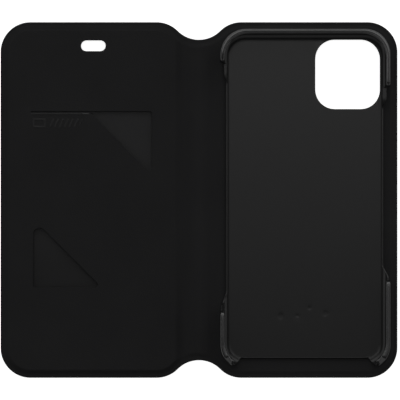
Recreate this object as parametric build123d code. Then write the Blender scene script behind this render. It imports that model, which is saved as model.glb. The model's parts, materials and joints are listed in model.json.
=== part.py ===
from build123d import *
import math
import os

# Folio phone case, lying open on its back.
#
# A book-style cover carries a rigid phone tray on its right panel and a card pocket on its left panel.
# The cover is a sandwich: outer skin below, stiffening boards, then a lining with a bevelled edge on top.
# Frame: X across the open book (left panel is -X), Y towards the phone's top edge, Z out of the lining.
# The origin is at the middle of the spine, on the surface that the open case rests on. Millimetres.

# ---- Driving dimensions -------------------------------------------------------------------------------
PHONE_WIDTH = 77.8
PHONE_LENGTH = 158.0
PHONE_THICKNESS = 8.1
PHONE_CORNER_R = 10.9
PHONE_EDGE_R = 4.0
PHONE_PLAY = 0.1

CARD_WIDTH = 53.98
CARD_LENGTH = 85.6

COVER_WIDTH = 188.0
COVER_LENGTH = 168.5
COVER_CORNER_R = 14.2
NECK_DEPTH = 8.3

SKIN_T = 0.9
LINING_T = 0.6
BOARD_T = 0.8
PADDING_T = 1.2
BACKING_T = 0.3
BOND_T = 0.2
BOND_INSET = 6.0
FLOOR_T = 1.2
SHELL_SIDE_T = 0.6
BUMPER_T = 1.1
END_WALL_EXTRA = 0.2
RIM_ABOVE_SCREEN = 1.0
LIP_OVERHANG = 1.1
MOUTH_CORNER_R = 11.5
CLOSED_GAP = 0.3

# ---- Levels above the table ---------------------------------------------------------------------------
SKIN_TOP = SKIN_T
SEAM_TOP = SKIN_TOP + LINING_T
BOARD_TOP = SKIN_TOP + BOARD_T
BACK_TOP = BOARD_TOP + LINING_T
PADDING_TOP = BOARD_TOP + PADDING_T
FLAP_TOP = PADDING_TOP + LINING_T
TRAY_BASE = BACK_TOP + BOND_T
FLOOR_TOP = TRAY_BASE + FLOOR_T
SCREEN_Z = FLOOR_TOP + PHONE_THICKNESS
RIM_TOP = SCREEN_Z + RIM_ABOVE_SCREEN
SHELL_WALL_TOP = FLOOR_TOP + 0.46 * PHONE_THICKNESS

# ---- Folds --------------------------------------------------------------------------------------------
# The two creases lie where the skin meets the lining, so far apart that the closed flap clears the rim.
CREASE_Z = SKIN_TOP
CREASE_X = (RIM_TOP + CLOSED_GAP + FLAP_TOP - 2 * CREASE_Z) / 2
CREASE_GAP = 0.2

# ---- Cover edges --------------------------------------------------------------------------------------
LINING_SETBACK = 0.3
SEAM_WIDTH = 1.4
FLAP_BEVEL = 2.7
BACK_BEVEL = 2.2
PANEL_EDGE_X = CREASE_X - 0.4
SPINE_BOARD_WIDTH = 6.8
SPINE_BOARD_R = 1.5
SPINE_BEVEL = 1.4

# ---- Tray ---------------------------------------------------------------------------------------------
TRAY_X = 50.0
TRAY_Y = 0.2
SEAT_WIDTH = PHONE_WIDTH + 2 * PHONE_PLAY
SEAT_LENGTH = PHONE_LENGTH + 2 * PHONE_PLAY
SEAT_CORNER_R = PHONE_CORNER_R + PHONE_PLAY
SEAT_EDGE_R = PHONE_EDGE_R + PHONE_PLAY
LOW_EDGE = 37.2
LOW_BOTTOM_Y = -75.7
RAMP_LENGTH = 4.4
RAMP_DEPTH = 2.2
LEFT_CUT = (-44.1, 53.6)
RIGHT_CUT = (-32.2, 44.1)
LEFT_BUMPER_ENDS = (-52.4, 64.6)
RIGHT_BUMPER_ENDS = (-37.9, 53.0)
PORT_HALF_WIDTH = 30.1
PORT_BUMPER_STEP = 2.4
PORT_DEPTH = 8.0
BUMPER_END_R = 2.4
BRIM_R = 0.95

CAMERA_WIDTH = 30.7
CAMERA_LENGTH = 32.9
CAMERA_R = 9.2
CAMERA_X = 70.35
CAMERA_Y = 59.45
COLLAR_T = 1.0
COLLAR_PLAY = 0.1
COLLAR_RECESS = 0.2

# ---- Flap details -------------------------------------------------------------------------------------
EARPIECE_LENGTH = 11.7
EARPIECE_WIDTH = 5.2
EARPIECE_Y = 73.0
POCKET_X = -50.8
POCKET_TOP_Y = 41.9
POCKET_PLAY = 1.6
SLIT_WIDTH = 0.5
UPPER_WINDOW_LEG = 29.9
LOWER_WINDOW_LEG = 32.5
LOWER_WINDOW_MARGIN = 2.7
WINDOW_TIP_R = 1.4
LOWER_WINDOW_TOP_R = 3.0
LOWER_WINDOW_SIDE = 1.0
TALL = 40.0
NUDGE = 0.01


def plate(face, low, high):
    """A face in the XY plane, made into a plate between two levels."""
    return extrude(Pos(0, 0, low) * face, high - low, dir=(0, 0, 1))


def bevelled(face, low, high, run):
    """A plate whose sides lean in by run over its height."""
    lean = math.degrees(math.atan2(run, high - low))
    return extrude(Pos(0, 0, low) * face, high - low, dir=(0, 0, 1), taper=lean)


def band(x_low, x_high):
    """An endless strip of the XY plane between two x positions."""
    width = x_high - x_low
    return Pos((x_low + x_high) / 2, 0) * Rectangle(width, 2 * COVER_LENGTH)


# ---- Cover outline ------------------------------------------------------------------------------------


def cover_face():
    """The whole open cover: rounded corners, and a neck at each end of the spine made of equal arcs."""
    half_w, half_l, r = COVER_WIDTH / 2, COVER_LENGTH / 2, COVER_CORNER_R
    reach = math.sqrt(4 * r * NECK_DEPTH - NECK_DEPTH**2)
    swing = math.degrees(math.asin(reach / 2 / r))
    right = [
        Line((half_w, 0), (half_w, half_l - r)),
        CenterArc((half_w - r, half_l - r), r, 0, 90),
        Line((half_w - r, half_l), (reach, half_l)),
        CenterArc((reach, half_l - r), r, 90, swing),
    ]
    neck = CenterArc((0, half_l - NECK_DEPTH + r), r, 270 - swing, 2 * swing)
    left = [edge.mirror(Plane.YZ) for edge in right]
    top = [*right, neck, *left]
    bottom = [edge.mirror(Plane.XZ) for edge in top]
    return make_face([*top, *bottom])


def inset(face, distance):
    return offset(face, amount=-distance, kind=Kind.INTERSECTION)


COVER = cover_face()
FLAP_REGION = COVER & band(-COVER_WIDTH, -PANEL_EDGE_X)
BACK_REGION = COVER & band(PANEL_EDGE_X, COVER_WIDTH)


def crease_clearance(crease_x):
    """The V-shaped space above and below a crease that lets the two sides swing a quarter turn each way."""
    up, down = FLAP_TOP, CREASE_Z + NUDGE
    g = CREASE_GAP
    section = Polyline(
        (crease_x - g, CREASE_Z),
        (crease_x - g - up, CREASE_Z + up),
        (crease_x + g + up, CREASE_Z + up),
        (crease_x + g, CREASE_Z),
        (crease_x + g + down, CREASE_Z - down),
        (crease_x - g - down, CREASE_Z - down),
        close=True,
    )
    face = Plane.XZ * make_face(section)
    return extrude(face, COVER_LENGTH / 2, both=True)


CREASES = crease_clearance(-CREASE_X) + crease_clearance(CREASE_X)


# ---- Openings through the cover -----------------------------------------------------------------------


def earpiece_hole(grow=0.0):
    slot = SlotOverall(EARPIECE_LENGTH + 2 * grow, EARPIECE_WIDTH + 2 * grow)
    return plate(Pos(-TRAY_X, EARPIECE_Y) * slot, -TALL, TALL)


def camera_hole(grow=0.0):
    hole = RectangleRounded(CAMERA_WIDTH + 2 * grow, CAMERA_LENGTH + 2 * grow, CAMERA_R + grow)
    return plate(Pos(CAMERA_X, CAMERA_Y) * hole, -TALL, TALL)


# ---- Card pocket --------------------------------------------------------------------------------------

POCKET_WIDTH = CARD_WIDTH + 2 * POCKET_PLAY
POCKET_LENGTH = CARD_LENGTH + 0.4
POCKET_LEFT = POCKET_X - POCKET_WIDTH / 2
POCKET_RIGHT = POCKET_X + POCKET_WIDTH / 2
POCKET_BOTTOM = POCKET_TOP_Y - POCKET_LENGTH


def pocket_face():
    return Pos(POCKET_X, POCKET_TOP_Y - POCKET_LENGTH / 2) * Rectangle(POCKET_WIDTH, POCKET_LENGTH)


def window(x, y, leg, way, side_tip_r, end_tip_r):
    """A right triangle: square corner at x, y, legs along X and Y in the direction way, tips rounded."""
    face = make_face(Polyline((x, y), (x + way * leg, y), (x, y + way * leg), close=True))
    side_tip = face.vertices().sort_by(lambda v: way * v.X)[-1]
    face = fillet(side_tip, side_tip_r)
    end_tip = face.vertices().sort_by(lambda v: way * v.Y)[-1]
    return fillet(end_tip, end_tip_r)


def thumb_notch():
    """The triangular notch in the corner of the pocket's mouth, where a thumb slides the card out."""
    return window(POCKET_RIGHT, POCKET_TOP_Y, UPPER_WINDOW_LEG, -1, WINDOW_TIP_R, WINDOW_TIP_R)


def push_window():
    """The window near the pocket's foot, through which a finger pushes the card up."""
    x, y = POCKET_LEFT + LOWER_WINDOW_SIDE, POCKET_BOTTOM + LOWER_WINDOW_MARGIN
    return window(x, y, LOWER_WINDOW_LEG, 1, WINDOW_TIP_R, LOWER_WINDOW_TOP_R)


def slit():
    """The pocket's mouth, along its top edge."""
    return Pos(POCKET_X, POCKET_TOP_Y - SLIT_WIDTH / 2) * Rectangle(POCKET_WIDTH, SLIT_WIDTH)


# ---- Flap ---------------------------------------------------------------------------------------------

SLOPE = FLAP_BEVEL / (FLAP_TOP - SEAM_TOP)
UNDER_SEAM = SEAM_WIDTH + LINING_T
BOARD_INSET = UNDER_SEAM + SLOPE * BOARD_T


def front_outer_skin():
    sheet = plate(COVER & band(-COVER_WIDTH, -CREASE_X), 0, SKIN_TOP)
    return sheet - earpiece_hole() - CREASES


def front_board():
    return plate(inset(FLAP_REGION, BOARD_INSET), SKIN_TOP, BOARD_TOP) - earpiece_hole()


def flap_padding():
    """Foam that fills the bevelled panel around the card, open where the card goes."""
    foam = bevelled(inset(FLAP_REGION, BOARD_INSET), BOARD_TOP, PADDING_TOP, SLOPE * PADDING_T)
    return foam - earpiece_hole() - plate(pocket_face(), BOARD_TOP, PADDING_TOP)


def pocket_backing():
    return plate(pocket_face(), BOARD_TOP, BOARD_TOP + BACKING_T)


def front_lining():
    """The lining: a flat seam all round, a bevel, then the raised panel with an opening for the pocket."""
    seam = plate(inset(COVER, LINING_SETBACK) & band(-COVER_WIDTH, -CREASE_X), SKIN_TOP, SEAM_TOP)
    panel = bevelled(inset(FLAP_REGION, SEAM_WIDTH), SEAM_TOP, FLAP_TOP, FLAP_BEVEL)
    inner = bevelled(inset(FLAP_REGION, UNDER_SEAM), SKIN_TOP, PADDING_TOP, FLAP_BEVEL)
    pocket = plate(pocket_face(), SKIN_TOP, FLAP_TOP)
    return seam + panel - inner - pocket - earpiece_hole() - CREASES


def pocket_panel():
    face = pocket_face() - slit() - thumb_notch() - push_window()
    return plate(face, PADDING_TOP, FLAP_TOP)


# ---- Spine --------------------------------------------------------------------------------------------

SPINE_END_Y = COVER_LENGTH / 2 - NECK_DEPTH


def spine_face(grow=0.0):
    width = SPINE_BOARD_WIDTH + 2 * grow
    length = 2 * (SPINE_END_Y - BOARD_INSET - SPINE_BEVEL + grow)
    return RectangleRounded(width, length, SPINE_BOARD_R + grow)


def spine_outer_skin():
    return plate(COVER & band(-CREASE_X, CREASE_X), 0, SKIN_TOP) - CREASES


def spine_board():
    return plate(spine_face(), SKIN_TOP, BOARD_TOP)


def spine_lining():
    seam = plate(inset(COVER, LINING_SETBACK) & band(-CREASE_X, CREASE_X), SKIN_TOP, SEAM_TOP)
    ridge = bevelled(spine_face(LINING_T / 2 + SPINE_BEVEL), SEAM_TOP, BACK_TOP, SPINE_BEVEL)
    return seam + ridge - spine_board() - CREASES


# ---- Back panel ---------------------------------------------------------------------------------------

BACK_SLOPE = BACK_BEVEL / (BACK_TOP - SEAM_TOP)


def back_outer_skin():
    sheet = plate(COVER & band(CREASE_X, COVER_WIDTH), 0, SKIN_TOP)
    return sheet - camera_hole(COLLAR_T + COLLAR_PLAY) - CREASES


def back_board():
    board = plate(inset(BACK_REGION, UNDER_SEAM + BACK_BEVEL), SKIN_TOP, BOARD_TOP)
    return board - camera_hole(COLLAR_T + COLLAR_PLAY)


def back_lining():
    seam = plate(inset(COVER, LINING_SETBACK) & band(CREASE_X, COVER_WIDTH), SKIN_TOP, SEAM_TOP)
    panel = bevelled(inset(BACK_REGION, SEAM_WIDTH), SEAM_TOP, BACK_TOP, BACK_BEVEL)
    inner = plate(inset(BACK_REGION, UNDER_SEAM + BACK_BEVEL), SKIN_TOP, BOARD_TOP)
    return seam + panel - inner - camera_hole(COLLAR_T + COLLAR_PLAY) - CREASES


# ---- Phone tray ---------------------------------------------------------------------------------------


def on_tray(shape):
    return Pos(TRAY_X, TRAY_Y) * shape


def seat():
    """The space of the phone itself, with its rounded edges."""
    block = plate(
        RectangleRounded(SEAT_WIDTH, SEAT_LENGTH, SEAT_CORNER_R), FLOOR_TOP, SCREEN_Z + PHONE_PLAY
    )
    ends = block.edges().filter_by(lambda e: abs(e.bounding_box().size.Z) < NUDGE)
    return fillet(ends, SEAT_EDGE_R - NUDGE)


def seat_mouth():
    """The way in from above, narrower than the phone by the lip, with a rounded brim."""
    width, length = SEAT_WIDTH - 2 * LIP_OVERHANG, SEAT_LENGTH - 2 * LIP_OVERHANG
    return plate(RectangleRounded(width, length, MOUTH_CORNER_R), FLOOR_TOP + PHONE_THICKNESS / 2, TALL)


def shell_block(top):
    """The outside of the rigid shell: a flat base and a side that curves up around the phone."""
    width, length = SEAT_WIDTH + 2 * SHELL_SIDE_T, SEAT_LENGTH + 2 * SHELL_SIDE_T
    block = plate(RectangleRounded(width, length, SEAT_CORNER_R + SHELL_SIDE_T), TRAY_BASE, top)
    return fillet(block.edges().group_by(Axis.Z)[0], SEAT_EDGE_R + SHELL_SIDE_T)


def side_cut(way, span):
    """What is cut from one long side, over a span of y, so that the wall drops to a low edge by ramps."""
    low, high = span
    points = [
        (LOW_EDGE, low),
        (LOW_EDGE, high),
        (LOW_EDGE + RAMP_DEPTH, high + RAMP_LENGTH),
        (SEAT_WIDTH, high + RAMP_LENGTH),
        (SEAT_WIDTH, low - RAMP_LENGTH),
        (LOW_EDGE + RAMP_DEPTH, low - RAMP_LENGTH),
    ]
    face = make_face(Polyline(*[(way * x, y) for x, y in points], close=True))
    return plate(face, 0, TALL)


def port_cut(half_width):
    """What is cut from the bottom end, between slanting sides, for the plug and the speakers."""
    points = [
        (-half_width, LOW_BOTTOM_Y),
        (half_width, LOW_BOTTOM_Y),
        (half_width + PORT_DEPTH, LOW_BOTTOM_Y - PORT_DEPTH),
        (-half_width - PORT_DEPTH, LOW_BOTTOM_Y - PORT_DEPTH),
    ]
    return plate(make_face(Polyline(*points, close=True)), 0, TALL)


def tray_shell():
    """The rigid tray: floor, curved side walls that drop to a low edge beside the buttons, and a collar."""
    shell = shell_block(SHELL_WALL_TOP) - seat()
    shell -= side_cut(-1, LEFT_CUT)
    shell -= side_cut(1, RIGHT_CUT)
    shell -= port_cut(PORT_HALF_WIDTH)
    collar = camera_hole(COLLAR_T) & plate(COVER, COLLAR_RECESS, FLOOR_TOP - NUDGE)
    return on_tray(shell) + collar - camera_hole()


def bumper_ring():
    """A whole rim around the tray: rounded outside, a lip over the phone's edge inside."""
    width = SEAT_WIDTH + 2 * BUMPER_T
    length = SEAT_LENGTH + 2 * (BUMPER_T + END_WALL_EXTRA)
    block = plate(RectangleRounded(width, length, SEAT_CORNER_R + BUMPER_T), TRAY_BASE, RIM_TOP)
    block = fillet(block.edges().group_by(Axis.Z)[0], SEAT_EDGE_R)
    ring = block - seat_mouth()
    brim = ring.edges().filter_by(lambda e: abs(e.bounding_box().min.Z - RIM_TOP) < NUDGE)
    ring = fillet(brim, BRIM_R)
    return ring - seat() - shell_block(SHELL_WALL_TOP)


def end_block(x_way, y_end, y_way):
    """A block as tall as the rim that starts at y_end and goes on in y, its upper starting edge rounded."""
    size = Vector(SEAT_WIDTH, SEAT_LENGTH, RIM_TOP)
    centre = Vector(x_way * size.X / 2, y_end + y_way * size.Y / 2, size.Z / 2)
    block = Pos(*centre) * Box(*size)
    upper = block.edges().group_by(Axis.Z)[-1].filter_by(Axis.X)
    return fillet(upper.sort_by(lambda e: y_way * e.center().Y)[0], BUMPER_END_R)


def top_bumper():
    """The upper rim: a U round both upper corners, cut away where it would meet the camera collar."""
    sides = end_block(-1, LEFT_BUMPER_ENDS[1], 1) + end_block(1, RIGHT_BUMPER_ENDS[1], 1)
    return on_tray(bumper_ring() & sides) - camera_hole(COLLAR_T)


def lower_bumper(way, y_end):
    """One lower corner of the rim, from its side end round to the slanting side of the port opening."""
    corner = bumper_ring() & end_block(way, y_end, -1)
    return on_tray(corner - port_cut(PORT_HALF_WIDTH + PORT_BUMPER_STEP))


def tray_bond():
    """The adhesive film between tray and lining."""
    width, length = SEAT_WIDTH - 2 * BOND_INSET, SEAT_LENGTH - 2 * BOND_INSET
    face = RectangleRounded(width, length, BOND_INSET)
    return plate(on_tray(face), BACK_TOP, TRAY_BASE) - camera_hole(COLLAR_T + COLLAR_PLAY)


# ---- Every sub-part and its maker ---------------------------------------------------------------------

MAKERS = {
    "front_outer_skin": front_outer_skin,
    "front_board": front_board,
    "flap_padding": flap_padding,
    "pocket_backing": pocket_backing,
    "front_lining": front_lining,
    "pocket_panel": pocket_panel,
    "spine_outer_skin": spine_outer_skin,
    "spine_board": spine_board,
    "spine_lining": spine_lining,
    "back_outer_skin": back_outer_skin,
    "back_board": back_board,
    "back_lining": back_lining,
    "tray_bond": tray_bond,
    "tray_shell": tray_shell,
    "top_bumper": top_bumper,
    "lower_left_bumper": lambda: lower_bumper(-1, LEFT_BUMPER_ENDS[0]),
    "lower_right_bumper": lambda: lower_bumper(1, RIGHT_BUMPER_ENDS[0]),
}

os.makedirs("parts", exist_ok=True)
for name, make in MAKERS.items():
    export_step(make(), f"parts/{name}.step")
print("crease x", round(CREASE_X, 2), "rim top", round(RIM_TOP, 2), "flap top", round(FLAP_TOP, 2))
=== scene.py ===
import json
import math

import bpy
import numpy as np
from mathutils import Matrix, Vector, geometry


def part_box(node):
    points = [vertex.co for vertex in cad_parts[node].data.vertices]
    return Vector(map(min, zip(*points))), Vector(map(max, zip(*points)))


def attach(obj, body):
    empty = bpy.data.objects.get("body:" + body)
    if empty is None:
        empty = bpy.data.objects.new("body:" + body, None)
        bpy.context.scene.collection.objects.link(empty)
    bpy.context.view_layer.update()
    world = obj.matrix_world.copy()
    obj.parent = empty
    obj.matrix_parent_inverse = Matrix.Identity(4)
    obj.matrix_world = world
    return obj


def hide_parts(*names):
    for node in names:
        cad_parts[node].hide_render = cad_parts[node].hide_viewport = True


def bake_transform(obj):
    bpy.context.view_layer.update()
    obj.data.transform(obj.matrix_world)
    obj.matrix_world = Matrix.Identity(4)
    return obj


# The looks of a folio phone case that lies open on its back. Lengths are millimetres until a mesh is made.

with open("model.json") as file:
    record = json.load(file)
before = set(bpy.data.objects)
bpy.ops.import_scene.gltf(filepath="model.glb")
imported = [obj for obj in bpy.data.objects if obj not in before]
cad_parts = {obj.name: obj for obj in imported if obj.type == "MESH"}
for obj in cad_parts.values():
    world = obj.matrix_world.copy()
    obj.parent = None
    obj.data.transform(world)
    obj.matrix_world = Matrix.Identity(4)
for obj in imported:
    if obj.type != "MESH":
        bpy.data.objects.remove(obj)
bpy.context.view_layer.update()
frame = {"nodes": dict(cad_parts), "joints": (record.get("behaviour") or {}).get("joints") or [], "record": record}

MM = 0.001
TINY = 1e-6

# ---- Sizes read from the frame ----


def cad_box(node):
    low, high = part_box(node)
    return low / MM, high / MM


def named(items, name):
    return next(item for item in items if item["name"] == name)


HALF_W, HALF_L, SKIN_TOP = cad_box("back_outer_skin")[1]
FLAP_TOP = cad_box("front_lining")[1].z
BACK_TOP = cad_box("back_lining")[1].z
POCKET_LOW, POCKET_HIGH = cad_box("pocket_backing")
BACK_CREASE = Vector(named(frame["joints"], "spine_fold")["pos_m"]) / MM
TRAY_BASE = cad_box("tray_bond")[1].z
BUMPER_LOW, BUMPER_HIGH = cad_box("top_bumper")
WALL_TOP = cad_box("tray_shell")[1].z
FLOOR_TOP = named(frame["record"]["mounts"], "phone_seat")["pos_m"][2] / MM

# ---- Shape of the cover ----
CORNER_R = 14.2
NECK_DEPTH = 8.3
NECK_REACH = math.sqrt(4 * CORNER_R * NECK_DEPTH - NECK_DEPTH**2)
NECK_SWING = math.degrees(math.asin(NECK_REACH / 2 / CORNER_R))
LINING_T = 0.6
LINING_SETBACK = 0.3
SEAM_TOP = SKIN_TOP + LINING_T
BEVEL_START = 1.35
FLAP_BEVEL = 2.95
BACK_BEVEL = 2.3
FOLD_HALF_WIDTH = 3.2

# ---- Shape of the tray ----
RIM_TOP = BUMPER_HIGH.z
BUMPER_T = 1.1
END_WALL_EXTRA = 0.2
SEAT_R = 11.0
SEAT_EDGE_R = 4.1
SIDE_T = 0.6
TRAY = Vector(((BUMPER_LOW.x + BUMPER_HIGH.x) / 2, 0.2))
SEAT_HALF_W = (BUMPER_HIGH.x - BUMPER_LOW.x) / 2 - BUMPER_T
SEAT_HALF = Vector((SEAT_HALF_W, BUMPER_HIGH.y - TRAY.y - BUMPER_T - END_WALL_EXTRA))


# ---- Mesh making ----
SHARP_ANGLE = 38.0


def add_object(name, data):
    obj = bpy.data.objects.new(name, data)
    bpy.context.scene.collection.objects.link(obj)
    return obj


def make_object(name, points, faces, material):
    """A smooth-shaded mesh from points in millimetres."""
    mesh = bpy.data.meshes.new(name)
    mesh.from_pydata([Vector(p) * MM for p in points], [], faces)
    mesh.validate()
    mesh.shade_smooth()
    mesh.set_sharp_from_angle(angle=math.radians(SHARP_ANGLE))
    mesh.materials.append(material)
    return add_object(name, mesh)


def inside(points, loop):
    """Which of the points lie in a closed loop."""
    x, y = points[:, 0], points[:, 1]
    ax, ay = np.array(loop, float).T
    bx, by = np.roll(ax, -1), np.roll(ay, -1)
    result = np.zeros(len(points), bool)
    for x0, y0, x1, y1 in zip(ax, ay, bx, by):
        if y0 != y1:
            hit = (y0 > y) != (y1 > y)
            result ^= hit & (x < (x1 - x0) * (y - y0) / (y1 - y0) + x0)
    return result


def distance_to(points, line):
    """How far each point is from a polyline, by its segments."""
    best = np.full(len(points), np.inf)
    line = np.array(line, float)
    for a, b in zip(line[:-1], line[1:]):
        d = b - a
        t = np.clip(((points - a) @ d) / max(d @ d, TINY), 0, 1)
        best = np.minimum(best, np.linalg.norm(points - a - t[:, None] * d, axis=1))
    return best


def turned_area(loop):
    """Twice the area of a closed loop, positive where it runs counterclockwise."""
    return sum(a[0] * b[1] - b[0] * a[1] for a, b in zip(loop, [*loop[1:], loop[0]]))


class Sheet:
    """A plan of points and faces, made into a closed solid between an upper and a lower surface."""

    def __init__(self):
        self.points = []
        self.faces = []

    def add(self, xy):
        self.points.append((float(xy[0]), float(xy[1])))
        return len(self.points) - 1

    def add_ring(self, ring):
        return [self.add(p) for p in ring]

    def strip(self, outer, inner, closed):
        """Quads between two rings of as many points, the inner ring on the left of the way they run."""
        n = len(outer)
        for i in range(n if closed else n - 1):
            j = (i + 1) % n
            self.faces.append((outer[i], outer[j], inner[j], inner[i]))

    def add_rings(self, rings, marks, closed=True, outwards=False):
        """Rings joined by quads, as (mark, ring), from the outside inwards or from a hole's edge outwards.
        Each point's mark goes into marks. Returns the innermost ring, or the outermost one round a hole."""
        made = []
        for mark, ring in rings:
            made.append(self.add_ring(ring))
            marks.update(dict.fromkeys(made[-1], mark))
        for one, other in zip(made, made[1:]):
            outer, inner = (other, one) if outwards else (one, other)
            self.strip(outer, inner, closed)
        return made[-1]

    def add_hole(self, corners, radii, steps, marks, clear=0.0):
        """Rings round a hole, which start at a clearance from it. Each point's mark is its step outwards."""
        rings = [(step, rounded_loop(corners, radii, clear + step)) for step in steps]
        return self.add_rings(rings, marks, outwards=True)

    def marked(self, marks, other):
        """Each point's mark, and another number where it has none."""
        return [marks.get(i, other) for i in range(len(self.points))]

    def fill(self, boundary, holes, candidates, gap):
        """Triangles inside a boundary and outside the holes, through those candidate points that are
        further than the gap from both."""
        loop = [self.points[i] for i in boundary]
        hole_loops = [[self.points[i] for i in hole] for hole in holes]
        candidates = np.array(candidates, float).reshape(-1, 2)
        keep = inside(candidates, loop) & (distance_to(candidates, [*loop, loop[0]]) > gap)
        for hole in hole_loops:
            keep &= ~inside(candidates, hole) & (distance_to(candidates, [*hole, hole[0]]) > gap)
        extra = self.add_ring(candidates[keep])
        used = [*boundary, *(i for hole in holes for i in hole), *extra]
        edges, start = [], 0
        for ring in (boundary, *holes):
            n = len(ring)
            edges += [(start + i, start + (i + 1) % n) for i in range(n)]
            start += n
        flat = [Vector(self.points[i]) for i in used]
        _, _, triangles, origins, _, _ = geometry.delaunay_2d_cdt(flat, edges, [], 0, TINY)
        triangles = [[used[origins[k][0]] for k in t] for t in triangles if all(origins[k] for k in t)]
        middles = np.array([np.mean([self.points[i] for i in t], axis=0) for t in triangles])
        good = inside(middles, loop)
        for hole in hole_loops:
            good &= ~inside(middles, hole)
        self.faces += [tuple(t) for t, ok in zip(triangles, good) if ok]

    def solid(self, name, upper, lower, material):
        """upper and lower are the points' heights, in the order in which they were added."""
        n = len(self.points)
        faces = []
        for face in self.faces:
            area = turned_area([self.points[i] for i in face])
            if abs(area) > TINY:
                faces.append(face if area > 0 else face[::-1])
        sides = dict.fromkeys(side for face in faces for side in zip(face, face[1:] + face[:1]))
        under = [tuple(i + n for i in reversed(face)) for face in faces]
        faces += [*under, *((a + n, b + n, b, a) for a, b in sides if (b, a) not in sides)]
        points = [(*p, z) for heights in (upper, lower) for p, z in zip(self.points, heights)]
        used = sorted({i for face in faces for i in face})
        index = {old: new for new, old in enumerate(used)}
        faces = [tuple(index[i] for i in face) for face in faces]
        return make_object(name, [points[i] for i in used], faces, material)


def arc(centre, radius, start, turn, count):
    """Points along an arc, in degrees, ends included."""
    angles = [math.radians(start + turn * i / count) for i in range(count + 1)]
    return [(centre[0] + radius * math.cos(a), centre[1] + radius * math.sin(a)) for a in angles]


def between(a, b, count):
    """Points from a towards b, without b."""
    return [(a[0] + (b[0] - a[0]) * i / count, a[1] + (b[1] - a[1]) * i / count) for i in range(count)]


def rounded_loop(corners, radii, grow=0.0, arc_steps=8, edge_step=2.0):
    """A counterclockwise loop with rounded corners, moved outwards by grow, its points always as many."""
    n = len(corners)
    arcs = []
    for i, (corner, radius) in enumerate(zip(corners, radii)):
        before, here, after = Vector(corners[i - 1]), Vector(corner), Vector(corners[(i + 1) % n])
        u, v = (here - before).normalized(), (after - here).normalized()
        turn = math.degrees(math.atan2(u.x * v.y - u.y * v.x, u.dot(v)))
        way = 1 if turn > 0 else -1
        normal_in, normal_out = Vector((-u.y, u.x)) * way, Vector((-v.y, v.x)) * way
        centre = here + (normal_in + normal_out) * (radius / (1 + normal_in.dot(normal_out)))
        start = math.degrees(math.atan2(-normal_in.y, -normal_in.x))
        arcs.append(arc(centre, radius + way * grow, start, turn, arc_steps))
    points = []
    for i, piece in enumerate(arcs):
        length = (Vector(corners[(i + 1) % n]) - Vector(corners[i])).length
        points += piece[:-1] + between(piece[-1], arcs[(i + 1) % n][0], max(1, round(length / edge_step)))
    return points


def grid(low, high, step):
    """Points across a rectangle."""
    return [(x, y) for x in np.arange(low[0], high[0], step) for y in np.arange(low[1], high[1], step)]


def rectangle(centre, width, length):
    x, y, w, h = centre[0], centre[1], width / 2, length / 2
    return [(x - w, y - h), (x + w, y - h), (x + w, y + h), (x - w, y + h)]


def eased(t, ease=0.3):
    """A ramp from 0 to 1 that starts and ends level, with a straight run between."""
    t = min(1.0, max(0.0, t))
    slope = 1 / (1 - ease)
    if t < ease:
        return slope * t * t / ease / 2
    if t > 1 - ease:
        return 1 - slope * (1 - t) ** 2 / ease / 2
    return slope * (t - ease / 2)


def smooth(t):
    t = min(1.0, max(0.0, t))
    return t * t * (3 - 2 * t)


def rounding(distance, radius):
    """How far a rounded edge has dropped at a distance from it."""
    return radius - math.sqrt(max(0.0, radius**2 - max(0.0, radius - distance) ** 2))


# ---- Materials ----


def grey(value):
    """A grey with the faint blue of black plastic and dyed leather."""
    return (value, value, value * 1.03, 1)


def set_inputs(node, numbers):
    for key, number in numbers.items():
        node.inputs[key].default_value = number


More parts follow.
